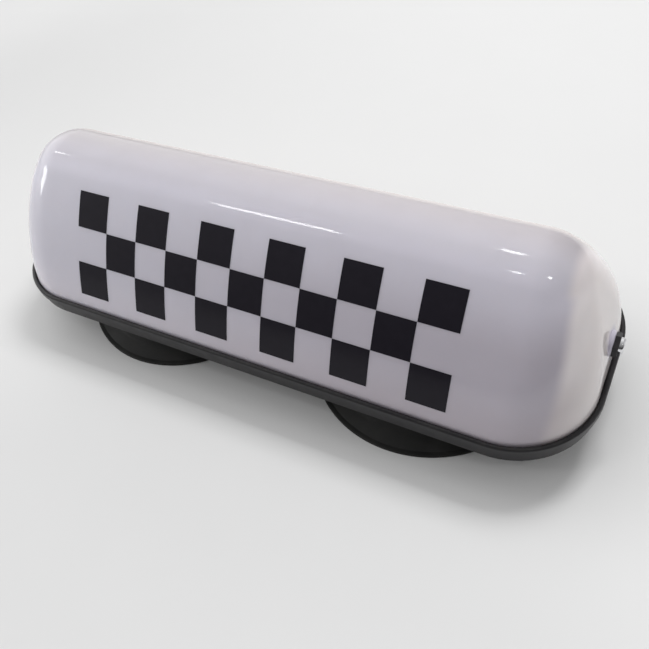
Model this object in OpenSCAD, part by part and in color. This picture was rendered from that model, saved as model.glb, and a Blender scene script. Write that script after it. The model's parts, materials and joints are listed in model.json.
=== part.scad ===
// Illuminated roof sign on two magnetic feet: a translucent cover over a shallow lamp tray.
// Frame: floor at z = 0 under the feet, +Z up, X along the sign, front face towards -Y.

/* [Cover] */
// Length of the cover at the rim
cover_l = 350; // [330:5:380]
// Width of the cover at the rim
cover_w = 120; // [114:2:130]
// Plan radius of the corners at the rim
corner_r = 42; // [38:1:44]
// Plan radius of the corners near the top
crown_r = 20; // [16:1:24]
// Wall thickness
cover_t = 3; // [2.5:0.5:3.5]
// Lean of the long walls at the rim, in degrees
wall_lean = 21.4; // [20:0.2:24]
// Lean of the long walls where the shoulder starts, in degrees
shoulder_lean = 42.5; // [40.5:0.5:44.5]
// Radius of the long walls' bow
wall_bow_r = 204; // [196:2:216]
// Lean of the end walls at the rim, in degrees
end_lean = 2; // [1:0.5:5]
// Lean of the end walls where their shoulder starts, in degrees
end_shoulder_lean = 22; // [20:0.5:25]
// Height of the end walls below their shoulder
end_wall_h = 53; // [49:0.5:55]

/* [Tray] */
// Height of the tray from its underside to the top of its lip
tray_h = 12; // [12:0.5:14]
// Thickness of the tray's floor
floor_t = 3; // [2.5:0.5:3.5]
// Thickness of the lip round the cover
lip_t = 2.6; // [2.4:0.2:3.2]
// Height of the lip above the tray's lower wall
lip_h = 4.5; // [4:0.5:5]
// How far the lower wall is set back from the lip
wall_setback = 1.6; // [1:0.2:2]

/* [Feet] */
// Height of a foot, from the floor to the tray
foot_h = 21; // [21:0.5:24]
// Radius of a foot's thin skirt
foot_r = 66; // [65:1:70]
// Distance between the two feet, centre to centre
foot_spacing = 164; // [156:2:172]
// Radius of the ring magnet
magnet_r = 50; // [46:1:50]
// Thickness of the ring magnet
magnet_t = 8; // [7:0.5:8]

/* [End screws] */
// Height of the end screws above the rim
screw_up = 18.6; // [17:0.2:20]
// Radius of the screw's shank
screw_r = 2; // [2:0.5:2]
// Length of the screw's shank
screw_l = 32; // [30:1:34]
// Width of the six-sided sealing washer across its flats
washer_flats = 10.5; // [9.5:0.25:11.5]
// Thickness of the sealing washer
washer_t = 2.5; // [2:0.25:3]

/* [Lamps] */
// Distance of each lamp from the middle
lamp_x = 45; // [40:1:50]
// Radius of the lamp's glass
bulb_r = 5.1; // [4.8:0.1:5.3]
// Height of the lamp's glass above its pinched base
bulb_h = 16; // [14:0.5:18]

/* [Reflector] */
// Length of the reflector plate
reflector_l = 266; // [256:2:268]
// Width of the reflector plate
reflector_w = 88; // [84:2:90]
// Thickness of the reflector plate
reflector_t = 1.5; // [1:0.25:2]

/* [Hidden] */
$fn = 64;
eps = 0.01;
left = -1;
right = 1;

// Clearances
rim_gap = 0.3;
slip = 0.05;
loose = 0.2;

// Levels
tray_z = foot_h;
inside_z = tray_z + floor_t;
rim_z = tray_z + tray_h;
gasket_t = 2;
cover_skirt = 4.5;
gasket_z = rim_z - cover_skirt - gasket_t;
post_h = 12;
plate_z = inside_z + post_h;
plate_top = plate_z + reflector_t;

// Cover section: a bowed wall, then a shoulder that closes at the middle
half_l = cover_l / 2 - rim_gap;
half_w = cover_w / 2 - rim_gap;
wall_top = wall_bow_r * (sin(shoulder_lean) - sin(wall_lean));
wall_in = wall_bow_r * (cos(wall_lean) - cos(shoulder_lean));
shoulder_r = (half_w - wall_in) / cos(shoulder_lean);
cover_h = wall_top + shoulder_r * (1 - sin(shoulder_lean));
end_bow_r = end_wall_h / (sin(end_shoulder_lean) - sin(end_lean));
end_in = end_bow_r * (cos(end_lean) - cos(end_shoulder_lean));
end_r = (cover_h - end_wall_h) / (1 - sin(end_shoulder_lean));
wall_steps = 7;
shoulder_steps = 9;
top_lean = 88;
corner_steps = 11;

// End screws
screw_z = rim_z + screw_up;
boss_r = 6.6;
boss_inset = 0.7;
boss_face = half_l - boss_inset;
boss_l = 14.2;
boss_edge = 1.5;
head_r = 4;
head_h = 2.4;
recess_w = 1;
recess_d = 1.2;
nut_flats = 7;
nut_t = 3.2;
bracket_t = 2;
bracket_face = boss_face - boss_l - rim_gap;
bracket_w = 24;
bracket_foot_l = 20;
bracket_rise = 8;
slot_r = screw_r + 0.3;
ear_l = 6;
ear_t = 1.5;
ear_h = 15;
nut_x = bracket_face - bracket_t - loose - nut_t;
rivet_r = 2;
rivet_head_r = 4;
rivet_head_h = 1.5;
rivet_y = 8;
rivet_x = bracket_face - 12;

// Tray
ledge_w = 7;
gasket_w = 5;
post_r = 4.5;
post_x = 118;
post_y = 34;
plate_screw_r = 1.45;
plate_screw_l = 10;
plate_screw_head_r = 3.2;
plate_screw_head_h = 2;
grommet_y = 35;
grommet_r = 6;
grommet_bore_r = 3;
grommet_flange_r = 9;
grommet_flange_t = 3;
grommet_cap_r = 8;
grommet_cap_t = 2.5;

// Feet
foot_x = foot_spacing / 2;
pad_t = 2;
backing_t = 3;
pocket_r = magnet_r + 1.2;
pocket_h = pad_t + magnet_t + backing_t + loose;
magnet_bore_r = 20;
boot_wall = 2.3;
boot_top = 18;
skirt_t = 1.6;
neck_r = 24;
bolt_r = 4;
bolt_flats = 13;
bolt_head_h = 5.3;
bolt_z = pad_t + magnet_t;
bolt_hole_r = bolt_r + loose;
foot_washer_r = 12;
foot_washer_t = 2;
foot_nut_h = 8;
bolt_l = inside_z + foot_washer_t + foot_nut_h + 2 - bolt_z;
access_r = 13;

// Lamps
holder_z = plate_top;
holder_flange_r = 9;
holder_flange_t = 1.5;
holder_r = 7.5;
holder_h = 13.5;
holder_neck_r = 6;
holder_neck_h = 7.5;
holder_top = holder_z + holder_h;
wedge_w = 9.4;
wedge_t = 2.4;
wedge_h = 7;
wedge_z = holder_top - wedge_h + 0.3;
pinch_h = 3.5;
pinch_r = 4.9;
glass_t = 0.6;
glass_z = wedge_z + wedge_h + pinch_h;
socket_w = 10;
socket_t = 4;
contact_w = 3;
contact_t = 0.4;
contact_x = 2.6;
contact_y = 1.55;
contact_h = 6;
filament_r = 0.35;
filament_l = 4.4;
support_r = 0.3;
support_h = 8;

// Terminal block and leads
block_l = 20;
block_w = 20;
block_h = 11;
block_y = 18;
pole_y = 5;
pole_x = 5;
terminal_r = 1.7;
terminal_h = 4;
lead_r = 1.1;
lead_bend_r = 5;
lead_z = plate_top + 3;
lead_in = 4;
lead_side = 3.5;

// Inset of an arc that starts at a lean and rises by z
function arc_in(z, lean, r) = r * (cos(lean) - sqrt(1 - pow(sin(lean) + z / r, 2)));
function side_in(z) =
    z <= 0 ? 0 :
    z < wall_top ? arc_in(z, wall_lean, wall_bow_r) :
    wall_in + arc_in(z - wall_top, shoulder_lean, shoulder_r);
function end_in_at(z) =
    z <= 0 ? 0 :
    z < end_wall_h ? arc_in(z, end_lean, end_bow_r) :
    end_in + arc_in(z - end_wall_h, end_shoulder_lean, end_r);
function side_slope(z) =
    z <= 0 ? 0 :
    z < wall_top ? asin(sin(wall_lean) + z / wall_bow_r) :
    asin(sin(shoulder_lean) + (z - wall_top) / shoulder_r);
function end_slope(z) =
    z <= 0 ? 0 :
    z < end_wall_h ? asin(sin(end_lean) + z / end_bow_r) :
    asin(sin(end_shoulder_lean) + (z - end_wall_h) / end_r);

// Heights of the cover's sections above the rim
wall_levels = [for (i = [0 : wall_steps])
    wall_bow_r * (sin(wall_lean + (shoulder_lean - wall_lean) * i / wall_steps) - sin(wall_lean))];
shoulder_levels = [for (i = [1 : shoulder_steps])
    wall_top + shoulder_r
        * (sin(shoulder_lean + (top_lean - shoulder_lean) * i / shoulder_steps) - sin(shoulder_lean))];
levels = concat(wall_levels, shoulder_levels);
hollow_h = cover_h - cover_t;
hollow_levels = concat([for (z = levels) if (z < hollow_h - 1) z], [hollow_h]);

// One section: a rounded rectangle, its points in order round the corners
function ring(a, b, r, z) = [for (c = [0 : 3], i = [0 : corner_steps])
    let (turn = 90 * (c + i / corner_steps),
         sx = c == 0 || c == 3 ? 1 : -1,
         sy = c < 2 ? 1 : -1)
    [sx * (a - r) + r * cos(turn), sy * (b - r) + r * sin(turn), z]];
function section(z, t) =
    let (a = half_l - end_in_at(z) - t / cos(end_slope(z)),
         b = half_w - side_in(z) - t / cos(side_slope(z)),
         r = corner_r - rim_gap - t + (crown_r - corner_r) * max(z, 0) / cover_h)
    ring(a, b, min(r, b - eps), rim_z + z);

// Closed skin over a stack of sections with equal point counts
module skin(rings) {
    n = len(rings[0]);
    m = len(rings);
    sides = [for (k = [0 : m - 2], i = [0 : n - 1])
        let (j = (i + 1) % n)
        each [[k * n + i, (k + 1) * n + i, (k + 1) * n + j], [k * n + i, (k + 1) * n + j, k * n + j]]];
    bottom = [for (i = [0 : n - 1]) i];
    top = [for (i = [n - 1 : -1 : 0]) (m - 1) * n + i];
    polyhedron([for (r = rings) each r], concat([bottom, top], sides));
}

module rounded(l, w, r) {
    square([l - 2 * r, w], center = true);
    square([l, w - 2 * r], center = true);
    for (x = [left, right], y = [-1, 1])
        translate([x * (l / 2 - r), y * (w / 2 - r)])
            circle(r);
}

// Plate with the cover's plan outline, grown or shrunk by d
module outline_plate(d, z, h) {
    translate([0, 0, z])
        linear_extrude(h)
            rounded(cover_l + 2 * d, cover_w + 2 * d, corner_r + d);
}

module on_side(side) {
    if (side == right)
        children();
    else
        mirror([1, 0, 0])
            children();
}

// Turns +Z to +X and moves it to x on the end screws' axis
module on_end(x) {
    translate([x, 0, screw_z])
        rotate([0, 90, 0])
            children();
}

module end_rod(x, l, r) {
    on_end(x)
        cylinder(h = l, r = r);
}

module hex(flats, h) {
    cylinder(h = h, r = flats / 2 / cos(30), $fn = 6);
}

module cover() {
    color("gainsboro")
    difference() {
        union() {
            difference() {
                skin([section(-cover_skirt, 0), for (z = levels) section(z, 0)]);
                skin([section(-cover_skirt - 1, cover_t), for (z = hollow_levels) section(z, cover_t)]);
            }
            for (side = [left, right])
                on_side(side)
                    on_end(boss_face - boss_l)
                        round_edged(boss_r, boss_l, boss_edge);
        }
        for (side = [left, right])
            on_side(side)
                end_rod(boss_face - boss_l - 1, boss_l + 2, screw_r + slip);
    }
}

module tray() {
    color("dimgray")
    difference() {
        union() {
            tray_shell();
            for (x = [left, right], y = [-1, 1])
                translate([x * post_x, y * post_y, inside_z - eps])
                    cylinder(h = post_h + eps, r = post_r);
        }
        for (x = [left, right], y = [-1, 1])
            translate([x * post_x, y * post_y, plate_z - plate_screw_l])
                cylinder(h = plate_screw_l + 1, r = plate_screw_r + slip);
        for (side = [left, right]) {
            translate([side * foot_x, 0, tray_z - 1])
                cylinder(h = floor_t + 2, r = bolt_hole_r);
            for (y = [-rivet_y, rivet_y])
                translate([side * rivet_x, y, tray_z - 1])
                    cylinder(h = floor_t + 2, r = rivet_r + slip);
        }
        translate([0, grommet_y, tray_z - 1])
            cylinder(h = floor_t + 2, r = grommet_r);
    }
}

// Lower wall, overhanging lip, a ledge for the gasket and the pan inside it
module tray_shell() {
    difference() {
        union() {
            outline_plate(lip_t - wall_setback, tray_z, tray_h - lip_h + eps);
            outline_plate(lip_t, rim_z - lip_h, lip_h - lip_t / 2);
            lip_round();
        }
        outline_plate(-ledge_w, inside_z, tray_h);
        outline_plate(0, gasket_z, tray_h);
    }
}

// Half-round top of the lip, swept along the sides and round the corners
module lip_round() {
    z = rim_z - lip_t / 2;
    run_x = cover_l - 2 * corner_r;
    run_y = cover_w - 2 * corner_r;
    for (turn = [0, 180])
        rotate([0, 0, turn]) {
            translate([0, cover_w / 2 + lip_t / 2, z])
                rotate([0, 90, 0])
                    cylinder(h = run_x, r = lip_t / 2, center = true);
            translate([cover_l / 2 + lip_t / 2, 0, z])
                rotate([90, 0, 0])
                    cylinder(h = run_y, r = lip_t / 2, center = true);
        }
    for (c = [0 : 3])
        translate([(c == 0 || c == 3 ? 1 : -1) * run_x / 2, (c < 2 ? 1 : -1) * run_y / 2, z])
            rotate([0, 0, 90 * c])
                rotate_extrude(angle = 90)
                    translate([corner_r + lip_t / 2, 0])
                        circle(lip_t / 2);
}

module rim_gasket() {
    color([0.12, 0.12, 0.13])
    difference() {
        outline_plate(-rim_gap, gasket_z, gasket_t);
        outline_plate(-rim_gap - gasket_w, gasket_z - 1, gasket_t + 2);
    }
}

module sealing_washer(side) {
    color([0.08, 0.08, 0.08])
    on_side(side)
        difference() {
            on_end(boss_face)
                hex(washer_flats, washer_t);
            end_rod(boss_face - 1, washer_t + 2, screw_r + slip);
        }
}

module end_screw(side) {
    head_x = boss_face + washer_t;
    color("silver")
    on_side(side)
        difference() {
            union() {
                end_rod(head_x - screw_l, screw_l + eps, screw_r);
                on_end(head_x)
                    round_edged(head_r, head_h, head_h / 2);
            }
            for (turn = [0, 90])
                translate([head_x + head_h, 0, screw_z])
                    rotate([turn, 0, 0])
                        cube([2 * recess_d, head_r, recess_w], center = true);
        }
}

// Disc or rod that stands on z = 0, with a rounded edge at its top
module round_edged(r, h, edge) {
    rotate_extrude() {
        square([r, h - edge]);
        square([r - edge, h]);
        translate([r - edge, h - edge])
            intersection() {
                circle(edge);
                square(edge);
            }
    }
}

module clamp_nut(side) {
    color("gray")
    on_side(side)
        difference() {
            on_end(nut_x)
                hex(nut_flats, nut_t);
            end_rod(nut_x - 1, nut_t + 2, screw_r + slip);
        }
}

// Angle bracket with a slot open at the top and two ears that stop the nut turning
module end_bracket(side) {
    web_x = bracket_face - bracket_t;
    web_top = screw_z + bracket_rise;
    color("lightsteelblue")
    on_side(side)
        difference() {
            union() {
                translate([web_x, -bracket_w / 2, inside_z])
                    cube([bracket_t, bracket_w, web_top - inside_z]);
                translate([bracket_face - bracket_foot_l, -bracket_w / 2, inside_z])
                    cube([bracket_foot_l, bracket_w, bracket_t]);
                for (y = [nut_flats / 2 + loose, -nut_flats / 2 - loose - ear_t])
                    translate([web_x - ear_l, y, web_top - ear_h])
                        cube([ear_l + eps, ear_t, ear_h]);
            }
            end_rod(web_x - 1, bracket_t + 2, slot_r);
            translate([web_x - 1, -slot_r, screw_z])
                cube([bracket_t + 2, 2 * slot_r, bracket_rise + 1]);
            for (y = [-rivet_y, rivet_y])
                translate([rivet_x, y, inside_z - 1])
                    cylinder(h = bracket_t + 2, r = rivet_r + slip);
        }
}

module bracket_rivets() {
    top = inside_z + bracket_t;
    color("silver")
    for (side = [left, right], y = [-rivet_y, rivet_y])
        translate([side * rivet_x, y, 0]) {
            translate([0, 0, tray_z - rivet_head_h])
                cylinder(h = top - tray_z + rivet_head_h + eps, r = rivet_r);
            translate([0, 0, top])
                round_edged(rivet_head_r, rivet_head_h, rivet_head_h / 2);
            translate([0, 0, tray_z])
                rotate([180, 0, 0])
                    round_edged(rivet_head_r - 0.8, rivet_head_h, rivet_head_h / 2);
        }
}

module reflector_plate() {
    color("whitesmoke")
    difference() {
        translate([0, 0, plate_z])
            linear_extrude(reflector_t)
                rounded(reflector_l, reflector_w, reflector_w / 8);
        for (x = [left, right]) {
            for (y = [-1, 1])
                plate_hole(x * post_x, y * post_y, plate_screw_r + loose);
            plate_hole(x * foot_x, 0, access_r);
            plate_hole(x * lamp_x, 0, holder_neck_r + loose);
        }
        plate_hole(0, grommet_y, grommet_r);
        plate_hole(0, block_y, plate_screw_r + loose);
    }
}

module plate_hole(x, y, r) {
    translate([x, y, plate_z - 1])
        cylinder(h = reflector_t + 2, r = r);
}

module plate_screw(x, y, z) {
    translate([x, y, z]) {
        translate([0, 0, -plate_screw_l + reflector_t + eps])
            cylinder(h = plate_screw_l - reflector_t, r = plate_screw_r);
        round_edged(plate_screw_head_r, plate_screw_head_h, plate_screw_head_h / 2);
    }
}

module plate_screws() {
    color("silver") {
        for (x = [left, right], y = [-1, 1])
            plate_screw(x * post_x, y * post_y, plate_top);
        plate_screw(0, block_y, plate_top + block_h / 2);
    }
}

module cable_grommet() {
    color([0.1, 0.1, 0.1])
    translate([0, grommet_y, 0])
        difference() {
            union() {
                translate([0, 0, tray_z - grommet_flange_t])
                    cylinder(h = grommet_flange_t, r = grommet_flange_r);
                translate([0, 0, tray_z - eps])
                    cylinder(h = floor_t + 2 * eps, r = grommet_r - slip);
                translate([0, 0, inside_z])
                    cylinder(h = grommet_cap_t, r = grommet_cap_r);
            }
            translate([0, 0, tray_z - grommet_flange_t - 1])
                cylinder(h = grommet_flange_t + floor_t + grommet_cap_t + 2, r = grommet_bore_r);
        }
}

module terminal_block() {
    color("ivory")
    difference() {
        translate([-block_l / 2, block_y - block_w / 2, plate_top])
            cube([block_l, block_w, block_h]);
        for (y = [-pole_y, pole_y]) {
            translate([-block_l / 2 - 1, block_y + y, lead_z])
                rotate([0, 90, 0])
                    cylinder(h = block_l + 2, r = lead_r + slip);
            for (x = [-pole_x, pole_x])
                translate([x, block_y + y, plate_top + block_h - terminal_h - 1])
                    cylinder(h = terminal_h + 2, r = terminal_r + slip);
        }
        translate([0, block_y, plate_top - 1])
            cylinder(h = block_h, r = plate_screw_r + slip);
        translate([0, block_y, plate_top + block_h / 2])
            cylinder(h = block_h, r = plate_screw_head_r + loose);
    }
}

module terminal_screws() {
    color("gold")
    for (x = [-pole_x, pole_x], y = [-pole_y, pole_y])
        translate([x, block_y + y, plate_top + block_h - terminal_h - 1])
            difference() {
                cylinder(h = terminal_h, r = terminal_r);
                translate([0, 0, terminal_h])
                    cube([3 * terminal_r, recess_w / 2, recess_w], center = true);
            }
}

// One lead: out of the block along X, round a bend, then back along -Y into a holder
module lead(y, x) {
    start_x = block_l / 2 - lead_in;
    bend_x = x - lead_bend_r;
    end_y = sqrt(pow(holder_r, 2) - pow(lead_side, 2)) - lead_in;
    translate([start_x, y, lead_z])
        rotate([0, 90, 0])
            cylinder(h = bend_x - start_x, r = lead_r);
    translate([bend_x, y - lead_bend_r, lead_z])
        rotate_extrude(angle = 90)
            translate([lead_bend_r, 0])
                circle(lead_r);
    translate([x, y - lead_bend_r, lead_z])
        rotate([90, 0, 0])
            cylinder(h = y - lead_bend_r - end_y, r = lead_r);
}

module live_leads() {
    color("firebrick")
    for (side = [left, right])
        on_side(side)
            lead(block_y - pole_y, lamp_x - lead_side);
}

module earth_leads() {
    color([0.1, 0.1, 0.1])
    for (side = [left, right])
        on_side(side)
            lead(block_y + pole_y, lamp_x + lead_side);
}

module lamp_holder(side) {
    color("linen")
    translate([side * lamp_x, 0, holder_z])
        difference() {
            union() {
                cylinder(h = holder_flange_t, r = holder_flange_r);
                cylinder(h = holder_h, r = holder_r);
                translate([0, 0, -holder_neck_h])
                    cylinder(h = holder_neck_h + eps, r = holder_neck_r);
            }
            translate([-socket_w / 2, -socket_t / 2, holder_h - wedge_h])
                cube([socket_w, socket_t, wedge_h + 1]);
            for (x = [-lead_side, lead_side])
                translate([x, 0, lead_z - holder_z])
                    rotate([-90, 0, 0])
                        translate([0, 0, sqrt(pow(holder_r, 2) - pow(lead_side, 2)) - lead_in - loose])
                            cylinder(h = holder_r, r = lead_r + slip);
        }
}

module holder_contacts(side) {
    color("goldenrod")
    on_side(side)
        for (k = [-1, 1])
            translate([lamp_x + k * contact_x - contact_w / 2,
                       k * contact_y - contact_t / 2,
                       holder_top - wedge_h])
                cube([contact_w, contact_t, contact_h]);
}

module bulb_glass(side) {
    inner_r = bulb_r - glass_t;
    wall_h = bulb_h - bulb_r;
    color([0.9, 0.95, 1, 0.5])
    translate([side * lamp_x, 0, glass_z])
        difference() {
            union() {
                cylinder(h = wall_h, r = bulb_r);
                translate([0, 0, wall_h])
                    sphere(bulb_r);
            }
            translate([0, 0, -bulb_r - 1])
                cylinder(h = wall_h + bulb_r + 1, r = inner_r);
            translate([0, 0, wall_h])
                sphere(inner_r);
            translate([0, 0, -2 * bulb_r])
                cylinder(h = 2 * bulb_r, r = 2 * bulb_r);
        }
}

// Flat wedge that widens into the round pinch under the glass
module bulb_base(side) {
    color([0.85, 0.9, 0.95, 0.6])
    translate([side * lamp_x, 0, wedge_z]) {
        translate([-wedge_w / 2, -wedge_t / 2, 0])
            cube([wedge_w, wedge_t, wedge_h]);
        hull() {
            translate([-wedge_w / 2, -wedge_t / 2, wedge_h - eps])
                cube([wedge_w, wedge_t, eps]);
            translate([0, 0, wedge_h + pinch_h - 1])
                cylinder(h = 1, r = pinch_r, $fn = 32);
        }
    }
}

module filament(side) {
    color("slategray")
    translate([side * lamp_x, 0, glass_z]) {
        for (x = [-1, 1])
            translate([x * filament_l / 2, 0, 0])
                cylinder(h = support_h, r = support_r);
        translate([-filament_l / 2 - support_r, 0, support_h])
            rotate([0, 90, 0])
                cylinder(h = filament_l + 2 * support_r, r = filament_r);
    }
}

// Rubber boot: thin skirt, upright side round the magnet, shoulder and neck under the tray
module foot_boot(side) {
    body_r = pocket_r + boot_wall;
    color([0.1, 0.1, 0.1])
    translate([side * foot_x, 0, 0])
        rotate_extrude()
            polygon([
                [pocket_r, 0],
                [foot_r, 0],
                [foot_r, skirt_t],
                [body_r + 3, skirt_t + 4],
                [body_r, skirt_t + 7],
                [body_r, boot_top - 4],
                [body_r - 4, boot_top],
                [neck_r + 2, boot_top],
                [neck_r, foot_h],
                [bolt_hole_r, foot_h],
                [bolt_hole_r, pocket_h],
                [pocket_r, pocket_h]
            ]);
}

// Ring or disc on a foot's axis
module foot_ring(side, z, h, r, bore) {
    translate([side * foot_x, 0, z])
        difference() {
            cylinder(h = h, r = r);
            if (bore > 0)
                translate([0, 0, -1])
                    cylinder(h = h + 2, r = bore);
        }
}

module foot_pad(side) {
    color([0.15, 0.15, 0.16])
    foot_ring(side, 0, pad_t, pocket_r - loose, 0);
}

module ring_magnet(side) {
    color([0.25, 0.25, 0.27])
    foot_ring(side, pad_t, magnet_t, magnet_r, magnet_bore_r);
}

module magnet_plate(side) {
    color("silver")
    foot_ring(side, bolt_z, backing_t, magnet_r, bolt_hole_r);
}

module foot_bolt(side) {
    color("silver")
    translate([side * foot_x, 0, bolt_z]) {
        translate([0, 0, -bolt_head_h])
            hex(bolt_flats, bolt_head_h);
        translate([0, 0, -eps])
            cylinder(h = bolt_l + eps, r = bolt_r);
    }
}

module foot_washer(side) {
    color("silver")
    foot_ring(side, inside_z, foot_washer_t, foot_washer_r, bolt_hole_r);
}

module foot_nut(side) {
    color("lightgray")
    translate([side * foot_x, 0, inside_z + foot_washer_t])
        difference() {
            hex(bolt_flats, foot_nut_h);
            translate([0, 0, -1])
                cylinder(h = foot_nut_h + 2, r = bolt_r + slip);
        }
}

cover();
tray();
rim_gasket();
sealing_washer(left);  // left_washer
sealing_washer(right);  // right_washer
end_screw(left);  // left_screw
end_screw(right);  // right_screw
clamp_nut(left);  // left_nut
clamp_nut(right);  // right_nut
end_bracket(left);  // left_bracket
end_bracket(right);  // right_bracket
bracket_rivets();
reflector_plate();
plate_screws();
cable_grommet();
terminal_block();
terminal_screws();
live_leads();
earth_leads();
lamp_holder(left);  // left_holder
lamp_holder(right);  // right_holder
holder_contacts(left);  // left_contacts
holder_contacts(right);  // right_contacts
bulb_glass(left);  // left_bulb_glass
bulb_glass(right);  // right_bulb_glass
bulb_base(left);  // left_bulb_base
bulb_base(right);  // right_bulb_base
filament(left);  // left_filament
filament(right);  // right_filament
foot_boot(left);  // left_foot_boot
foot_boot(right);  // right_foot_boot
foot_pad(left);  // left_foot_pad
foot_pad(right);  // right_foot_pad
ring_magnet(left);  // left_magnet
ring_magnet(right);  // right_magnet
magnet_plate(left);  // left_magnet_plate
magnet_plate(right);  // right_magnet_plate
foot_bolt(left);  // left_foot_bolt
foot_bolt(right);  // right_foot_bolt
foot_washer(left);  // left_foot_washer
foot_washer(right);  // right_foot_washer
foot_nut(left);  // left_foot_nut
foot_nut(right);  // right_foot_nut
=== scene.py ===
"""Illuminated roof sign: the looks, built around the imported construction."""
import json
import math

import bmesh
import bpy
from mathutils import Matrix, Vector

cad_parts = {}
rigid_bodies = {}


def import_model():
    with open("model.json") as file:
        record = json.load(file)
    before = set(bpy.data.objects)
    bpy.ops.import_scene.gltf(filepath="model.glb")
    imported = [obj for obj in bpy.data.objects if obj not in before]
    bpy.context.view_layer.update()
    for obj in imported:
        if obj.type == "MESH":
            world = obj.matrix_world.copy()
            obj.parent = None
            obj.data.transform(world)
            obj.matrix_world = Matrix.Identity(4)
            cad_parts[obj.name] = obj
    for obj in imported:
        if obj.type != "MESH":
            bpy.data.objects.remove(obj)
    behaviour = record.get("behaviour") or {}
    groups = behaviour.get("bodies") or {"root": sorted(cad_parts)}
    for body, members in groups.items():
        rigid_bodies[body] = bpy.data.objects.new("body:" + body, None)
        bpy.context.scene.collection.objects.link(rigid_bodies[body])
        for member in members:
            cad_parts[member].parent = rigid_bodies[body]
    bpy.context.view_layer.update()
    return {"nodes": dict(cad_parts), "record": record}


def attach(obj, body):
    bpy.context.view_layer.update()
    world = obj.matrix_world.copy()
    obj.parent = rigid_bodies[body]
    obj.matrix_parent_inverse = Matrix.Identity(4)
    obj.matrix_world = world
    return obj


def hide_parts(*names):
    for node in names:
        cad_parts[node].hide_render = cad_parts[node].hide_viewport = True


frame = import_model()
MM = 0.001

# Construction sizes in millimetres, shared with the solids
COVER_L = 350.0
COVER_W = 120.0
CORNER_R = 42.0
CROWN_R = 20.0
COVER_T = 3.0
WALL_LEAN = 21.4
SHOULDER_LEAN = 42.5
WALL_BOW_R = 204.0
END_LEAN = 2.0
END_SHOULDER_LEAN = 22.0
END_WALL_H = 53.0
RIM_Z = 33.0
RIM_GAP = 0.3
SKIRT = 4.5
HALF_L = COVER_L / 2 - RIM_GAP
HALF_W = COVER_W / 2 - RIM_GAP

# End bosses of the cover
SCREW_Z = RIM_Z + 18.6
BOSS_FACE = HALF_L - 0.7
BOSS_L = 14.2
BOSS_R = 6.6
BOSS_BORE_R = 2.05

# Rubber feet
FOOT_X = 82.0
FOOT_R = 66.0
FOOT_H = 21.0
SKIRT_T = 1.6
POCKET_R = 51.2
POCKET_H = 13.2
BODY_R = 53.5
BOOT_TOP = 18.0
NECK_R = 24.0
BOLT_HOLE_R = 4.2

# Chequer band on the long walls
BAND_COLUMNS = 11
BAND_ROWS = 3
BAND_SQUARE = 20.5
BAND_BOTTOM_LEAN = 23.6
FILM_T = 0.15
FILM_GAP = 0.1
FILM_STEPS = 9

# Meshing: steps of each piece, the turn in degrees that stays an edge, welds in metres
SHELL_COLUMNS = 192
SHELL_ROWS = 90
FILLET_STEPS = 6
BOSS_SEGMENTS = 64
BOOT_SEGMENTS = 160
SHARP_TURN = 35
WELD_DIST = 1e-7
SEAM_DIST = 5e-6

# Light: a dim room and soft lobes of sky as (direction, sharpness, strength)
ROOM_LEVEL = 0.03
SKY_LOBES = (((0, 0, 1), 2.0, 0.36), ((-0.7, 0.7, 0.4), 3.0, 1.72), ((-1, -0.35, 0.25), 5.0, 1.15),
             ((1, 0.45, 0.25), 5.0, 0.72))
BACKDROP = (0.61, 0.61, 0.61, 1.0)

# Lamps in metres and watts: name, place, size, power, direction of the long side, seen in reflections
ACROSS = (1, 0, 0)
LAMPS = (
    ("back_softbox", (0.22, 0.80, 1.44), (0.5, 0.3), 10.4, ACROSS, False),
    ("window_strip", (-0.75, -0.80, 1.27), (0.34, 0.09), 1.1, (0.42, 0.08, 0), True),
    ("left_window", (-1.53, -0.56, 0.47), (0.36, 0.24), 1.6, (0, 1, 0), True),
    ("left_panel", (-1.36, -0.03, 1.19), (0.22, 0.07), 0.4, (0.3, -0.1, 0.2), True),
    ("ceiling_panel", (-0.08, 0.20, 1.27), (0.05, 0.10), 0.22, ACROSS, True),
    ("ceiling_spot", (-0.075, -0.60, 1.27), (0.04, 0.05), 0.10, ACROSS, True),
    ("side_spot", (0.71, -0.40, 1.27), (0.16, 0.08), 0.70, ACROSS, True),
)
LAMP_AIM = (0, 0, 0.06)

# Paper floor in metres, with painted light and shade: grey to light along one direction, then steps of
# painted light and shade as (from, to, tone, tone)
FLOOR_HALF = 6.0
PAPER_SHADED = (0.72, 0.72, 0.72, 1.0)
PAPER_LIT = (0.81, 0.81, 0.81, 1.0)
PAINTED_LIGHT_FALL = (0.8, 0.6, 0.0)
FALL_REACH = (-0.5, 0.3)
PAINTED_LIGHT_BY_Y = ((-0.10, 0.22, 1.03, 0.925), (-0.15, -0.07, -0.06, 0.0))
PAINTED_LIGHT_BY_REACH = ((0.42, 0.60, 0.0, 0.1), (0.60, 1.0, 0.0, -0.2), (1.6, 3.2, 0.0, 0.3))

# Camera, fitted to the rim, the outline and the feet
IMAGE_PX = 649
FOCAL_PX = 719.0
CAMERA_AZ = 36.654
CAMERA_EL = 49.828
CAMERA_ROLL = -12.915
CAMERA_DIST = 390.0
CAMERA_AIM = (31.2, -24.0, 33.5)
SENSOR_MM = 36.0
CLIP_START = 0.01


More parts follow.
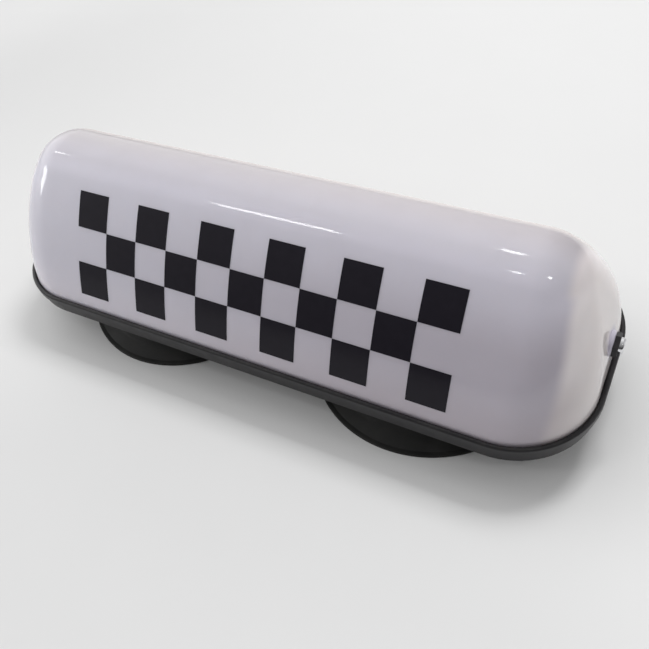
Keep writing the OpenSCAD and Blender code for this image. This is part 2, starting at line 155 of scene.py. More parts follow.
class Field:
    """A value that varies over a mesh. Arithmetic on it adds nodes to its tree."""

    def __init__(self, tree, socket):
        self.tree = tree
        self.socket = socket

    def math(self, operation, *others):
        node = self.tree.nodes.new("ShaderNodeMath")
        node.operation = operation
        for slot, value in zip(node.inputs, (self, *others)):
            if isinstance(value, Field):
                self.tree.links.new(value.socket, slot)
            else:
                slot.default_value = value
        return Field(self.tree, node.outputs[0])

    def __add__(self, other):
        return self.math("ADD", other)

    def __sub__(self, other):
        return self.math("SUBTRACT", other)

    def __rsub__(self, other):
        return self.math("MULTIPLY", -1.0) + other

    def __mul__(self, other):
        return self.math("MULTIPLY", other)

    def __truediv__(self, other):
        return self.math("DIVIDE", other)

    def sin(self):
        return self.math("SINE")

    def cos(self):
        return self.math("COSINE")

    def root(self):
        return self.math("MAXIMUM", 0.0).math("SQRT")

    def floor(self):
        return self.math("FLOOR")

    def least(self, other):
        return self.math("MINIMUM", other)

    def most(self, other):
        return self.math("MAXIMUM", other)

    def between(self, low, high):
        """Share of the way from low to high, kept within 0 and 1."""
        return ((self - low) / (high - low)).most(0.0).least(1.0)


def mix(a, b, share):
    return a + (b - a) * share


class Tree:
    """A geometry tree with one named input for each size."""

    def __init__(self, name, sizes):
        self.tree = bpy.data.node_groups.new(name, "GeometryNodeTree")
        self.tree.interface.new_socket("Geometry", in_out="OUTPUT", socket_type="NodeSocketGeometry")
        self.ids = {}
        for label in sizes:
            item = self.tree.interface.new_socket(label, in_out="INPUT", socket_type="NodeSocketFloat")
            self.ids[label] = item.identifier
        self.inputs = self.tree.nodes.new("NodeGroupInput")
        self.sizes = sizes

    def size(self, label):
        return Field(self.tree, self.inputs.outputs[label])

    def add(self, kind, **values):
        node = self.tree.nodes.new(kind)
        for name, value in values.items():
            self.feed(node.inputs[name.replace("_", " ")], value)
        return node

    def feed(self, slot, value):
        if isinstance(value, Field):
            value = value.socket
        if isinstance(value, bpy.types.NodeSocket):
            self.tree.links.new(value, slot)
        else:
            slot.default_value = value

    def place(self):
        """Position as three fields."""
        position = self.tree.nodes.new("GeometryNodeInputPosition")
        parts = self.add("ShaderNodeSeparateXYZ", Vector=position.outputs[0])
        return [Field(self.tree, s) for s in parts.outputs]

    def vector(self, x, y, z):
        return self.add("ShaderNodeCombineXYZ", X=x, Y=y, Z=z).outputs[0]

    def make(self, name, geometry, material, modifiers=()):
        """Ends the tree, runs it on a new object and keeps the result as a plain mesh."""
        real = self.add("GeometryNodeRealizeInstances", Geometry=geometry)
        rounded = self.add("GeometryNodeSetShadeSmooth", Geometry=real.outputs[0])
        painted = self.add("GeometryNodeSetMaterial", Geometry=rounded.outputs[0], Material=material)
        out = self.tree.nodes.new("NodeGroupOutput")
        self.tree.links.new(painted.outputs[0], out.inputs[0])
        obj = new_object(name, bpy.data.meshes.new(name + "_start"))
        nodes = obj.modifiers.new("shape", "NODES")
        nodes.node_group = self.tree
        for label, value in self.sizes.items():
            nodes[self.ids[label]] = value
        for kind, settings in modifiers:
            modifier = obj.modifiers.new(kind.lower(), kind)
            for key, value in settings.items():
                setattr(modifier, key, value)
        depsgraph = bpy.context.evaluated_depsgraph_get()
        mesh = bpy.data.meshes.new_from_object(obj.evaluated_get(depsgraph), depsgraph=depsgraph)
        obj.modifiers.clear()
        obj.data = mesh
        mesh.name = name
        if not mesh.materials:
            mesh.materials.append(material)
        return obj


def new_object(name, data):
    obj = bpy.data.objects.new(name, data)
    bpy.context.scene.collection.objects.link(obj)
    return obj


def smooth(mesh):
    """Round shading, with an edge where the surface turns sharply."""
    mesh.polygons.foreach_set("use_smooth", [True] * len(mesh.polygons))
    mesh.set_sharp_from_angle(angle=math.radians(SHARP_TURN))


def rounded_profile(corners):
    """Points along a chain of (radius, height, fillet) corners, each fillet as an arc."""
    points = []
    for i, (r, z, fillet) in enumerate(corners):
        here = Vector((r, z))
        if not fillet or i in (0, len(corners) - 1):
            points.append(here)
            continue
        back = (Vector(corners[i - 1][:2]) - here).normalized()
        ahead = (Vector(corners[i + 1][:2]) - here).normalized()
        half = back.angle(ahead) / 2
        reach = fillet / math.tan(half)
        centre = here + (back + ahead).normalized() * fillet / math.sin(half)
        start = here + back * reach - centre
        end = here + ahead * reach - centre
        turn = start.angle_signed(end)
        for k in range(FILLET_STEPS + 1):
            points.append(centre + Matrix.Rotation(-turn * k / FILLET_STEPS, 2) @ start)
    return points


def lathe(name, points, origin, axis, material, segments):
    """Closed ring of revolution: points are (radius, height) along the axis from the origin."""
    turn = Vector((0, 0, 1)).rotation_difference(Vector(axis)).to_matrix()
    bm = bmesh.new()
    rings = []
    for s in range(segments):
        a = 2 * math.pi * s / segments
        ring = []
        for r, z in points:
            local = turn @ Vector((r * math.cos(a), r * math.sin(a), z))
            ring.append(bm.verts.new((local + Vector(origin)) * MM))
        rings.append(ring)
    for s, ring in enumerate(rings):
        after = rings[(s + 1) % segments]
        for i in range(len(points)):
            j = (i + 1) % len(points)
            bm.faces.new((ring[i], after[i], after[j], ring[j]))
    bmesh.ops.remove_doubles(bm, verts=bm.verts, dist=WELD_DIST)
    bmesh.ops.recalc_face_normals(bm, faces=bm.faces)
    mesh = bpy.data.meshes.new(name)
    bm.to_mesh(mesh)
    bm.free()
    smooth(mesh)
    mesh.materials.append(material)
    return new_object(name, mesh)


class Shader:
    """A material or a shader group with short ways to add and join nodes."""

    def __init__(self, tree):
        self.tree = tree

    def add(self, kind, inputs=None, **settings):
        node = self.tree.nodes.new(kind)
        for key, value in settings.items():
            setattr(node, key, value)
        for key, value in (inputs or {}).items():
            self.feed(node.inputs[key], value)
        return node

    def feed(self, slot, value):
        if isinstance(value, bpy.types.NodeSocket):
            self.tree.links.new(value, slot)
        else:
            slot.default_value = value

    def math(self, operation, a, b=0.0):
        return self.add("ShaderNodeMath", {0: a, 1: b}, operation=operation).outputs[0]

    def ramp(self, value, low, high, to_low=0.0, to_high=1.0):
        """Smooth step of a value from one range to another."""
        inputs = {"Value": value, "From Min": low, "From Max": high, "To Min": to_low, "To Max": to_high}
        return self.add("ShaderNodeMapRange", inputs, interpolation_type="SMOOTHSTEP").outputs[0]

    def blend(self, share, a, b):
        node = self.add("ShaderNodeMix", data_type="RGBA")
        self.feed(node.inputs[0], share)
        self.feed(node.inputs[6], a)
        self.feed(node.inputs[7], b)
        return node.outputs[2]

    def noise(self, vector, scale, detail=3.0, rough=0.5):
        inputs = {"Vector": vector, "Scale": scale, "Detail": detail, "Roughness": rough}
        return self.add("ShaderNodeTexNoise", inputs).outputs[0]

    def vector(self, operation, a, b):
        """One number from two vectors, such as their distance."""
        return self.add("ShaderNodeVectorMath", {0: a, 1: b}, operation=operation).outputs["Value"]


def rgb(r, g, b):
    return (r, g, b, 1.0)


def shader_group(name, inputs, outputs, build):
    """Shader group with named sockets; build gets the helper and the inputs, and returns the outputs."""
    tree = bpy.data.node_groups.new(name, "ShaderNodeTree")
    for label, kind, default in inputs:
        item = tree.interface.new_socket(label, in_out="INPUT", socket_type=kind)
        if default is not None:
            item.default_value = default
    for label, kind in outputs:
        tree.interface.new_socket(label, in_out="OUTPUT", socket_type=kind)
    source = tree.nodes.new("NodeGroupInput")
    sink = tree.nodes.new("NodeGroupOutput")
    sh = Shader(tree)
    for label, socket in build(sh, source.outputs).items():
        tree.links.new(socket, sink.inputs[label])
    return tree


FLOAT = "NodeSocketFloat"
COLOR = "NodeSocketColor"
VECTOR = "NodeSocketVector"


def build_grain(sh, given):
    """Moulded or ground surface: fine pits and slow patches of tone."""
    pits = sh.noise(given["Coordinates"], given["Scale"], 4.0, 0.6)
    slow_scale = sh.math("MULTIPLY", given["Scale"], 0.06)
    patches = sh.noise(given["Coordinates"], slow_scale, 2.0)
    tone = sh.math("MULTIPLY", sh.math("SUBTRACT", patches, 0.5), given["Patches"])
    return {"Height": pits, "Tone": sh.math("ADD", tone, 1.0), "Patch": patches}


GRAIN = shader_group(
    "surface_grain",
    [("Coordinates", VECTOR, None), ("Scale", FLOAT, 2000.0), ("Patches", FLOAT, 0.2)],
    [("Height", FLOAT), ("Tone", FLOAT), ("Patch", FLOAT)],
    build_grain)


def build_dust(sh, given):
    """Thin dust that settles on what faces up, in soft clouds."""
    normal = sh.add("ShaderNodeNewGeometry").outputs["Normal"]
    up = sh.add("ShaderNodeSeparateXYZ", {0: normal}).outputs[2]
    facing = sh.ramp(up, 0.2, 0.95)
    clouds = sh.ramp(sh.noise(given["Coordinates"], 45.0, 5.0, 0.65), 0.38, 0.72)
    share = sh.math("MULTIPLY", sh.math("MULTIPLY", facing, clouds), given["Amount"])
    return {"Color": sh.blend(share, given["Color"], given["Dust Color"]), "Share": share}


DUST = shader_group(
    "settled_dust",
    [("Coordinates", VECTOR, None), ("Color", COLOR, rgb(0.1, 0.1, 0.1)),
     ("Dust Color", COLOR, rgb(0.45, 0.43, 0.40)), ("Amount", FLOAT, 0.1)],
    [("Color", COLOR), ("Share", FLOAT)],
    build_dust)


def build_scuffs(sh, given):
    """Fine scratches that run one way, broken up by soft patches."""
    stretched = sh.add("ShaderNodeMapping", {0: given["Coordinates"], 3: given["Stretch"]}).outputs[0]
    lines = sh.ramp(sh.noise(stretched, 900.0, 2.0, 0.6), 0.60, 0.74)
    where = sh.ramp(sh.noise(given["Coordinates"], 28.0, 3.0), 0.46, 0.68)
    return {"Mask": sh.math("MULTIPLY", lines, where)}


SCUFFS = shader_group(
    "fine_scuffs",
    [("Coordinates", VECTOR, None), ("Stretch", VECTOR, (0.06, 1.0, 1.0))],
    [("Mask", FLOAT)],
    build_scuffs)


# Where nearly all of a noise lies, and how much scuffs and dust dull a plain finish
NOISE_SPREAD = (0.3, 0.7)
SCUFF_DULL = 0.18
DUST_DULL = 0.5


def start_material(name):
    """New material: its helper, its shader and the object's coordinates."""
    mat = bpy.data.materials.new(name)
    mat.use_nodes = True
    sh = Shader(mat.node_tree)
    bsdf = mat.node_tree.nodes["Principled BSDF"]
    place = sh.add("ShaderNodeTexCoord").outputs["Object"]
    return mat, sh, bsdf, place


def grain_on(sh, place, scale, patches):
    inputs = {"Coordinates": place, "Scale": scale, "Patches": patches}
    return sh.add("ShaderNodeGroup", inputs, node_tree=GRAIN).outputs


def dust_on(sh, place, color, amount):
    inputs = {"Coordinates": place, "Color": color, "Amount": amount}
    return sh.add("ShaderNodeGroup", inputs, node_tree=DUST).outputs


def scuffs_on(sh, place, stretch):
    inputs = {"Coordinates": place, "Stretch": stretch}
    return sh.add("ShaderNodeGroup", inputs, node_tree=SCUFFS).outputs["Mask"]


def bump(sh, bsdf, height, strength, distance):
    node = sh.add("ShaderNodeBump", {"Strength": strength, "Distance": distance, "Height": height})
    sh.feed(bsdf.inputs["Normal"], node.outputs[0])


def toned(sh, tone, color):
    """Colour scaled by a tone value."""
    return sh.add("ShaderNodeVectorMath", {0: color, "Scale": tone}, operation="SCALE").outputs[0]


def rough_on(sh, bsdf, noise, low, high, *marks):
    """Roughness that follows a noise from low to high, raised by each (mask, amount) mark."""
    level = sh.ramp(noise, *NOISE_SPREAD, low, high)
    for mask, amount in marks:
        level = sh.math("ADD", level, sh.math("MULTIPLY", mask, amount))
    sh.feed(bsdf.inputs["Roughness"], level)


# Tones of the milky cover: painted light and shade, for how light falls on the cover and shines through it
LILAC_LOW = rgb(0.80, 0.76, 0.845)
LILAC = rgb(0.785, 0.76, 0.858)
# Painted shade: the mauve pair darkens the walls toward the right and toward the rim
MAUVE_LOW = rgb(0.535, 0.487, 0.54)
MAUVE = rgb(0.575, 0.538, 0.605)
# Painted shade: shoulder and crown darker than the walls, the crown darker on the left
SHOULDER_SHADE = rgb(0.615, 0.592, 0.655)
CROWN_SHADE_LEFT = rgb(0.41, 0.381, 0.401)
CROWN_SHADE_RIGHT = rgb(0.47, 0.438, 0.465)
# Painted glow of back light along the back's upper edge
BACK_GLOW_CREAM = rgb(0.72, 0.65, 0.61)
# Painted shade round the screw boss
BOSS_SHADE_TINT = rgb(0.62, 0.585, 0.68)

# Warm ends, painted light shining through the thin end walls, each as (at the corner, square to the end):
# low, middle and top
END_LOW = (rgb(0.69, 0.63, 0.645), rgb(0.82, 0.76, 0.755))
END_MIDDLE = (rgb(0.93, 0.86, 0.87), rgb(0.81, 0.75, 0.745))
END_TOP = (rgb(0.74, 0.68, 0.69), rgb(0.50, 0.465, 0.46))

# Where those painted tones turn into each other, in millimetres: heights above the rim, x, y, from the
# screw's axis
WALL_RISE = (0.0, 26.0)
MAUVE_FADE = (38.0, 64.0)
OVER_WALL = (56.0, 66.0)
END_MIDDLE_RISE = (14.0, 38.0)
END_TOP_RISE = (54.0, 68.0)
MAUVE_X = (-180.0, 130.0)
CROWN_X = (-140.0, 100.0)
SHOULDER_Y = (-19.0, -9.0)
CROWN_Y = (-12.0, 9.0)
BACK_GLOW_Y = (9.0, 20.0)
BOSS_SHADE_HALO = (6.6, 10.5)

# Shares: painted shade of mauve that stays at the top of the walls, painted shade as a tint at the boss
MAUVE_AT_TOP = 0.35
BOSS_SHADE_SHARE = 0.75

# How far the surface faces an end where the warm painted light starts, with a crisp painted reflection edge
# at the corner, and where the tones turn from corner to end
END_FACING = (0.47, 0.66)
END_TURN = (0.60, 0.97)

MILKY_ACRYLIC = {"IOR": 1.49, "Subsurface Weight": 0.35, "Subsurface Radius": (1.0, 0.9, 0.85),
                 "Subsurface Scale": 0.006}


def cover_plastic():
    """Milky acrylic with painted light and shade: lilac walls painted darker and mauve toward the right and
    the rim, a neutral crown in painted shade, a painted glow along the back's upper edge and warm thin ends
    of painted light.
    """
    mat, sh, bsdf, place = start_material("cover_plastic")
    x, y, z = sh.add("ShaderNodeSeparateXYZ", {0: place}).outputs
    height = sh.math("SUBTRACT", z, RIM_Z * MM)

    def over(value, zone, *ends):
        """Smooth step across a zone given in millimetres."""
        return sh.ramp(value, zone[0] * MM, zone[1] * MM, *ends)

    # Walls, shoulder, crown and the back's upper edge: painted shade darker toward the right, the rim and
    # the crown, and a painted glow along the back's upper edge
    rise = over(height, WALL_RISE)
    lilac = sh.blend(rise, LILAC_LOW, LILAC)
    mauve = sh.blend(rise, MAUVE_LOW, MAUVE)
    # Painted shade: the share of mauve grows toward the right and toward the rim
    shade_share = sh.math("MULTIPLY", over(height, MAUVE_FADE, 1.0, MAUVE_AT_TOP), over(x, MAUVE_X))
    body = sh.blend(shade_share, lilac, mauve)
    above = over(height, OVER_WALL)
    body = sh.blend(sh.math("MULTIPLY", above, over(y, SHOULDER_Y)), body, SHOULDER_SHADE)
    crown = sh.blend(over(x, CROWN_X), CROWN_SHADE_LEFT, CROWN_SHADE_RIGHT)
    body = sh.blend(sh.math("MULTIPLY", above, over(y, CROWN_Y)), body, crown)
    # Painted glow of back light, cream along the back's upper edge
    body = sh.blend(over(y, BACK_GLOW_Y), body, BACK_GLOW_CREAM)

    # Ends: warm painted light through the thin walls, with a lilac tint of painted shade round the screw
    # boss
    normal = sh.add("ShaderNodeNewGeometry").outputs["Normal"]
    endwise = sh.math("ABSOLUTE", sh.add("ShaderNodeSeparateXYZ", {0: normal}).outputs[0])
    turned = sh.ramp(endwise, *END_TURN)
    # Painted light shining through the thin ends: low, middle and top
    warm = sh.blend(over(height, END_MIDDLE_RISE), sh.blend(turned, *END_LOW), sh.blend(turned, *END_MIDDLE))
    warm = sh.blend(over(height, END_TOP_RISE), warm, sh.blend(turned, *END_TOP))
    section = sh.add("ShaderNodeCombineXYZ", {1: y, 2: z}).outputs[0]
    from_screw = sh.vector("DISTANCE", section, (0.0, 0.0, SCREW_Z * MM))
    # Painted shade of the boss, a lilac ring round the screw's axis
    warm = sh.blend(over(from_screw, BOSS_SHADE_HALO, BOSS_SHADE_SHARE, 0.0), warm, BOSS_SHADE_TINT)
    # Painted glow and painted reflection edge where the surface faces an end
    color = sh.blend(sh.ramp(endwise, *END_FACING), body, warm)

    grain = grain_on(sh, place, 900.0, 0.05)
    dusty = dust_on(sh, place, toned(sh, grain["Tone"], color), 0.04)
    sh.feed(bsdf.inputs["Base Color"], dusty["Color"])
    scratch = scuffs_on(sh, place, (0.05, 1.0, 1.0))
    rough_on(sh, bsdf, grain["Patch"], 0.04, 0.07, (scratch, 0.10), (dusty["Share"], 0.4))
    for key, value in MILKY_ACRYLIC.items():
        bsdf.inputs[key].default_value = value
    bump(sh, bsdf, grain["Patch"], 0.04, 0.4 * MM)
    return mat


def film_black():
    """Cut vinyl film, black with a plum cast."""
    mat, sh, bsdf, place = start_material("film_black")
    grain = grain_on(sh, place, 3500.0, 0.25)
    sh.feed(bsdf.inputs["Base Color"], toned(sh, grain["Tone"], (0.017, 0.015, 0.021)))
    rough_on(sh, bsdf, grain["Patch"], 0.10, 0.18)
    bsdf.inputs["Specular IOR Level"].default_value = 0.14
    bump(sh, bsdf, grain["Height"], 0.02, 0.02 * MM)
    return mat


def plain_finish(name, color, rough, grain, patches, dust, pit,
                 metallic=0.0, stretch=None, dull=0.12, shine=0.5):
    """Moulded, cast or plated finish with grain, tone, dust and, where a stretch is given, scuffs."""
    mat, sh, bsdf, place = start_material(name)
    surface = grain_on(sh, place, grain, patches)
    dusty = dust_on(sh, place, toned(sh, surface["Tone"], color), dust)
    sh.feed(bsdf.inputs["Base Color"], dusty["Color"])
    marks = [(dusty["Share"], DUST_DULL)]
    if stretch:
        marks.append((scuffs_on(sh, place, stretch), SCUFF_DULL))
    rough_on(sh, bsdf, surface["Patch"], rough - dull / 2, rough + dull / 2, *marks)
    bsdf.inputs["Metallic"].default_value = metallic
    bsdf.inputs["Specular IOR Level"].default_value = shine
    bump(sh, bsdf, surface["Height"], 0.25, pit * MM)
    return mat


def lamp_glass():
    """Clear lamp glass with faint drawn streaks."""
    mat, sh, bsdf, place = start_material("lamp_glass")
    streaks = sh.add("ShaderNodeMapping", {0: place, 3: (1.0, 1.0, 0.1)}).outputs[0]
    wave = sh.noise(streaks, 500.0, 2.0)
    sh.feed(bsdf.inputs["Base Color"], sh.blend(wave, rgb(0.93, 0.96, 0.97), rgb(0.98, 0.99, 1.0)))
    rough_on(sh, bsdf, wave, 0.01, 0.05)
    bsdf.inputs["Transmission Weight"].default_value = 1.0
    bsdf.inputs["IOR"].default_value = 1.47
    bump(sh, bsdf, wave, 0.1, 0.1 * MM)
    return mat


# Plain finishes: grain is the scale of the noise, pit its depth in millimetres, dull the spread of roughness
FINISHES = {
    "tray_plastic": dict(color=(0.015, 0.014, 0.016), rough=0.34, grain=2600.0, patches=0.4, dust=0.04,
                         pit=0.06, stretch=(0.05, 1.0, 1.0), shine=0.30),
    "rubber": dict(color=(0.014, 0.013, 0.015), rough=0.50, grain=2200.0, patches=0.5, dust=0.08, pit=0.08),
    "boot_rubber": dict(color=(0.019, 0.019, 0.0185), rough=0.58, grain=1500.0, patches=0.6, dust=0.02,
                        pit=0.12, shine=0.2),
    "chrome": dict(color=(0.80, 0.80, 0.82), rough=0.12, grain=1800.0, patches=0.06, dust=0.02,
                   pit=0.03, metallic=1.0, stretch=(1.0, 0.1, 0.1), dull=0.08),
    "zinc_steel": dict(color=(0.62, 0.63, 0.62), rough=0.34, grain=700.0, patches=0.25, dust=0.05,
                       pit=0.04, metallic=1.0, stretch=(0.1, 1.0, 1.0), dull=0.2),
    "white_paint": dict(color=(0.84, 0.84, 0.82), rough=0.38, grain=1800.0, patches=0.06, dust=0.12,
                        pit=0.06, stretch=(0.05, 1.0, 1.0)),
    "block_plastic": dict(color=(0.80, 0.77, 0.66), rough=0.45, grain=1600.0, patches=0.10, dust=0.06,
                          pit=0.06),
    "holder_plastic": dict(color=(0.70, 0.66, 0.58), rough=0.48, grain=1600.0, patches=0.12, dust=0.06,
                           pit=0.06),
    "brass": dict(color=(0.74, 0.55, 0.24), rough=0.30, grain=900.0, patches=0.25, dust=0.02,
                  pit=0.03, metallic=1.0, stretch=(1.0, 1.0, 0.1), dull=0.2),
    "filament_wire": dict(color=(0.30, 0.29, 0.28), rough=0.35, grain=4000.0, patches=0.3, dust=0.0,
                          pit=0.02, metallic=1.0),
    "ferrite": dict(color=(0.055, 0.055, 0.060), rough=0.60, grain=900.0, patches=0.5, dust=0.03, pit=0.1),
    "red_wire": dict(color=(0.42, 0.02, 0.018), rough=0.35, grain=1500.0, patches=0.15, dust=0.05, pit=0.04),
    "black_wire": dict(color=(0.016, 0.016, 0.017), rough=0.38, grain=1500.0, patches=0.3, dust=0.05,
                       pit=0.04),
}
BOSS_FINISH = dict(color=(0.60, 0.57, 0.66), rough=0.12, grain=900.0, patches=0.06, dust=0.03, pit=0.1)

MATERIALS = {"cover_plastic": cover_plastic(), "lamp_glass": lamp_glass()}
for slot, finish in FINISHES.items():
    MATERIALS[slot] = plain_finish(slot, **finish)
FILM = film_black()
BOSS = plain_finish("boss_plastic", **BOSS_FINISH)


def dress_solids():
    """Every carried-over node takes the finish of its slot in the record."""
    for part in frame["record"]["subparts"]:
        mesh = frame["nodes"][part["node"]].data
        mesh.materials.clear()
        mesh.materials.append(MATERIALS[part["material_slot"]])


def arc_inset(rise, lean, radius):
    """How far an arc that starts at a lean has gone in after a rise."""
    sine = lean.sin() + rise / radius
    return (lean.cos() - (1.0 - sine * sine).root()) * radius


COVER_SIZES = {
    "Half length": HALF_L * MM, "Half width": HALF_W * MM, "Corner radius": (CORNER_R - RIM_GAP) * MM,
    "Crown radius": (CROWN_R - RIM_GAP) * MM, "Wall lean": math.radians(WALL_LEAN),
    "Shoulder lean": math.radians(SHOULDER_LEAN), "Wall bow radius": WALL_BOW_R * MM,
    "End lean": math.radians(END_LEAN), "End shoulder lean": math.radians(END_SHOULDER_LEAN),
    "End wall height": END_WALL_H * MM, "Rim height": RIM_Z * MM, "Skirt": SKIRT * MM,
}


def cover_shell():
    """Domed cover: rounded rectangles stacked along a wall arc and a shoulder arc."""
    t = Tree("cover_shape", COVER_SIZES)
    half_l, half_w = t.size("Half length"), t.size("Half width")
    lean, top_lean, bow = t.size("Wall lean"), t.size("Shoulder lean"), t.size("Wall bow radius")
    wall_in = (lean.cos() - top_lean.cos()) * bow
    wall_top = (top_lean.sin() - lean.sin()) * bow
    shoulder_r = (half_w - wall_in) / top_lean.cos()
    height = wall_top + (1.0 - top_lean.sin()) * shoulder_r
    end_lean, end_top = t.size("End lean"), t.size("End shoulder lean")
    end_h = t.size("End wall height")
    end_bow = end_h / (end_top.sin() - end_lean.sin())
    end_r = (height - end_h) / (1.0 - end_top.sin())

    grid = t.add("GeometryNodeMeshGrid", Size_X=1.0, Size_Y=1.0)
    grid.inputs["Vertices X"].default_value = SHELL_COLUMNS + 1
    grid.inputs["Vertices Y"].default_value = SHELL_ROWS + 1
    px, py, _ = t.place()
    around, up = px + 0.5, py + 0.5

    # Up the section: skirt, wall arc, shoulder arc
    skirt_end, wall_end = 0.05, 0.55
    drop = t.size("Skirt") * (1.0 - up.between(0.0, skirt_end))
    wall_turn = mix(lean, top_lean, up.between(skirt_end, wall_end))
    crown_turn = mix(top_lean, math.pi / 2, up.between(wall_end, 1.0))
    rise = (wall_turn.sin() - lean.sin()) * bow + (crown_turn.sin() - top_lean.sin()) * shoulder_r
    side_in = (lean.cos() - wall_turn.cos()) * bow + (top_lean.cos() - crown_turn.cos()) * shoulder_r
    end_in = (arc_inset(rise.least(end_h), end_lean, end_bow)
              + arc_inset((rise - end_h).most(0.0), end_top, end_r))
    a, b = half_l - end_in, (half_w - side_in).most(0.0)
    r = mix(t.size("Corner radius"), t.size("Crown radius"), rise / height).least(b)

    # Round the section: a corner arc, then a straight run, four times
    quarter = (around * 4.0).floor().least(3.0)
    within = around * 4.0 - quarter
    arc_share = within.between(0.0, 0.5)
    run_share = within.between(0.5, 1.0)
    right_angle = math.pi / 2
    turn = (quarter + arc_share) * right_angle
    corner = (quarter + 0.5) * right_angle
    following = (quarter + 1.5) * right_angle
    square = math.sqrt(2)
    cx = mix(corner.cos(), following.cos(), run_share) * square * (a - r)
    cy = mix(corner.sin(), following.sin(), run_share) * square * (b - r)
    place = t.vector(cx + turn.cos() * r, cy + turn.sin() * r, rise - drop + t.size("Rim height"))
    shaped = t.add("GeometryNodeSetPosition", Geometry=grid.outputs[0], Position=place)
    closed = t.add("GeometryNodeMergeByDistance", Geometry=shaped.outputs[0], Distance=SEAM_DIST)
    wall = ("SOLIDIFY", {"thickness": COVER_T * MM, "offset": -1.0, "use_even_offset": True})
    return t.make("cover_shell", closed.outputs[0], MATERIALS["cover_plastic"], [wall])


def chequer_band(name, side):
    """Squares of cut film in a chequer on a long wall; side is -1 for the front."""
    sizes = {"Square": BAND_SQUARE * MM, "Columns": float(BAND_COLUMNS), "Rows": float(BAND_ROWS),
             "Gap": FILM_GAP * MM, "Half width": HALF_W * MM, "Wall lean": math.radians(WALL_LEAN),
             "Bottom lean": math.radians(BAND_BOTTOM_LEAN), "Wall bow radius": WALL_BOW_R * MM,
             "Rim height": RIM_Z * MM, "Side": side}
    t = Tree(name + "_layout", sizes)
    square = t.size("Square")
    cells = t.add("GeometryNodeMeshGrid", Size_X=(t.size("Columns") - 1.0) * square,
                  Size_Y=(t.size("Rows") - 1.0) * square)
    cells.inputs["Vertices X"].default_value = BAND_COLUMNS
    cells.inputs["Vertices Y"].default_value = BAND_ROWS
    index = Field(t.tree, t.tree.nodes.new("GeometryNodeInputIndex").outputs[0])
    odd = index.math("MODULO", 2.0)
    points = t.add("GeometryNodeMeshToPoints", Mesh=cells.outputs[0], Selection=odd.math("LESS_THAN", 0.5))
    tile = t.add("GeometryNodeMeshGrid", Size_X=square - t.size("Gap"), Size_Y=square - t.size("Gap"))
    tile.inputs["Vertices X"].default_value = FILM_STEPS
    tile.inputs["Vertices Y"].default_value = FILM_STEPS
    laid = t.add("GeometryNodeInstanceOnPoints", Points=points.outputs[0], Instance=tile.outputs[0])
    flat = t.add("GeometryNodeRealizeInstances", Geometry=laid.outputs[0])
    px, py, _ = t.place()
    bow, lean = t.size("Wall bow radius"), t.size("Wall lean")
    up = py + t.size("Rows") * square * 0.5
    turn = t.size("Bottom lean") + up / bow
    out = t.size("Half width") - (lean.cos() - turn.cos()) * bow
    rise = (turn.sin() - lean.sin()) * bow
    facing = t.size("Side")
    place = t.vector(px * facing * -1.0, out * facing, rise + t.size("Rim height"))
    bent = t.add("GeometryNodeSetPosition", Geometry=flat.outputs[0], Position=place)
    film = ("SOLIDIFY", {"thickness": FILM_T * MM, "offset": 1.0})
    band = t.make(name, bent.outputs[0], FILM, [film])
    smooth(band.data)
    return band


def end_boss(name, side):
    """Screw boss with a rounded face; its root is buried in the end wall."""
    corners = [(BOSS_BORE_R, -BOSS_L, 0), (BOSS_R, -BOSS_L, 0.4), (BOSS_R, 0, 1.5), (BOSS_BORE_R, 0, 0)]
    centre = (side * BOSS_FACE, 0, SCREW_Z)
    return lathe(name, rounded_profile(corners), centre, (side, 0, 0), BOSS, BOSS_SEGMENTS)


def foot_boot(name, side):
    """Rubber boot: a thin flared skirt with a beaded edge, an upright side, a shoulder and a neck."""
    corners = [
        (POCKET_R, 0, 0), (FOOT_R, 0, 0.5), (FOOT_R, SKIRT_T, 0.7), (FOOT_R - 2.5, SKIRT_T, 0.6),
        (BODY_R + 3, SKIRT_T + 3.6, 4), (BODY_R, SKIRT_T + 7, 3), (BODY_R, BOOT_TOP, 4),
        (NECK_R + 2, BOOT_TOP, 1.5), (NECK_R, FOOT_H, 0), (BOLT_HOLE_R, FOOT_H, 0),
        (BOLT_HOLE_R, POCKET_H, 0), (POCKET_R, POCKET_H, 0.8)]
    centre = (side * FOOT_X, 0, 0)
    return lathe(name, rounded_profile(corners), centre, (0, 0, 1), MATERIALS["boot_rubber"], BOOT_SEGMENTS)


def dress_cover():
    shell = cover_shell()
    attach(shell, "cover")
    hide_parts("cover")
    for name, side in (("left_end_boss", -1), ("right_end_boss", 1)):
        boss = end_boss(name, side)
        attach(boss, "cover")
    for name, side in (("front_chequer", -1.0), ("back_chequer", 1.0)):
        band = chequer_band(name, side)
        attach(band, "cover")


def dress_feet():
    for name, side in (("left", -1), ("right", 1)):
        boot = foot_boot(name + "_boot", side)
        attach(boot, "base")
        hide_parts(name + "_foot_boot")


def floor_material():
    """Pale paper with painted light and shade: its tone changes slowly from the front left to the back right
    and with the distance.
    """
    mat, sh, bsdf, place = start_material("floor_paper")
    # Painted light and shade: the paper is greyer toward the front left and lighter toward the back right
    across = sh.vector("DOT_PRODUCT", place, PAINTED_LIGHT_FALL)
    paper = sh.blend(sh.ramp(across, *FALL_REACH), PAPER_SHADED, PAPER_LIT)
    y = sh.add("ShaderNodeSeparateXYZ", {0: place}).outputs[1]
    reach = sh.vector("DISTANCE", place, (0.0, 0.0, 0.0))
    # Painted light and shade in steps: darker toward the back and the far front, then lighter, darker and
    # lighter again with the distance
    tone = 0.0
    for value, steps in ((y, PAINTED_LIGHT_BY_Y), (reach, PAINTED_LIGHT_BY_REACH)):
        for step in steps:
            tone = sh.math("ADD", sh.ramp(value, *step), tone)
    grain = grain_on(sh, place, 300.0, 0.02)
    sh.feed(bsdf.inputs["Base Color"], toned(sh, sh.math("MULTIPLY", grain["Tone"], tone), paper))
    bsdf.inputs["Roughness"].default_value = 0.75
    bsdf.inputs["Specular IOR Level"].default_value = 0.2
    return mat


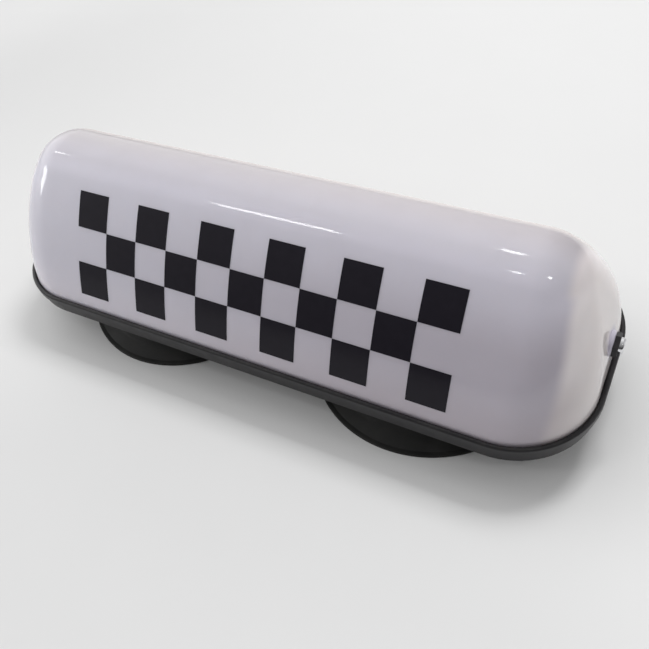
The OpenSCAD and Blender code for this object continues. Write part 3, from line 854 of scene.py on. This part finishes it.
def sky():
    """Dim room with soft light from above, the back left and both sides; it is seen as a pale backdrop."""
    world = bpy.data.worlds.new("sky")
    bpy.context.scene.world = world
    world.use_nodes = True
    sh = Shader(world.node_tree)
    toward = sh.add("ShaderNodeTexCoord").outputs["Generated"]
    level = ROOM_LEVEL
    for direction, sharpness, strength in SKY_LOBES:
        facing = sh.vector("DOT_PRODUCT", toward, Vector(direction).normalized())
        lobe = sh.math("POWER", sh.math("MAXIMUM", facing, 0.0), sharpness)
        level = sh.math("ADD", sh.math("MULTIPLY", lobe, strength), level)
    seen = sh.add("ShaderNodeLightPath").outputs["Is Camera Ray"]
    sh.feed(world.node_tree.nodes["Background"].inputs["Color"], sh.blend(seen, level, BACKDROP))


def studio():
    """Pale floor, soft sky, a softbox high at the back and small lamps for the thin highlights."""
    half = FLOOR_HALF
    corners = [(-half, -half, 0), (half, -half, 0), (half, half, 0), (-half, half, 0)]
    mesh = bpy.data.meshes.new("floor")
    mesh.from_pydata(corners, [], [(0, 1, 2, 3)])
    mesh.materials.append(floor_material())
    floor = new_object("floor", mesh)
    sky()
    for values in LAMPS:
        lamp(*values)


def lamp(name, place, size, power, along, mirrored):
    """Area light that faces the object; along gives the direction of its long side."""
    data = bpy.data.lights.new(name, "AREA")
    data.shape = "RECTANGLE"
    data.size, data.size_y = size
    data.energy = power
    obj = new_object(name, data)
    back = (Vector(place) - Vector(LAMP_AIM)).normalized()
    side = Vector(along)
    side = (side - back * side.dot(back)).normalized()
    turn = Matrix((side, back.cross(side), back)).transposed()
    obj.matrix_world = Matrix.Translation(place) @ turn.to_4x4()
    obj.visible_glossy = mirrored


def camera():
    data = bpy.data.cameras.new("camera")
    data.sensor_width = SENSOR_MM
    data.lens = FOCAL_PX / IMAGE_PX * data.sensor_width
    obj = new_object("camera", data)
    az, el, roll = (math.radians(v) for v in (CAMERA_AZ, CAMERA_EL, CAMERA_ROLL))
    back = Vector((math.sin(az) * math.cos(el), -math.cos(az) * math.cos(el), math.sin(el)))
    right = Vector((math.cos(az), math.sin(az), 0))
    up = back.cross(right)
    level = right
    right = level * math.cos(roll) + up * math.sin(roll)
    up = up * math.cos(roll) - level * math.sin(roll)
    place = (Vector(CAMERA_AIM) + back * CAMERA_DIST) * MM
    obj.matrix_world = Matrix.Translation(place) @ Matrix((right, up, back)).transposed().to_4x4()
    data.clip_start = CLIP_START
    bpy.context.scene.camera = obj


dress_solids()
dress_cover()
dress_feet()
studio()
camera()
bpy.context.scene.view_settings.view_transform = "Standard"
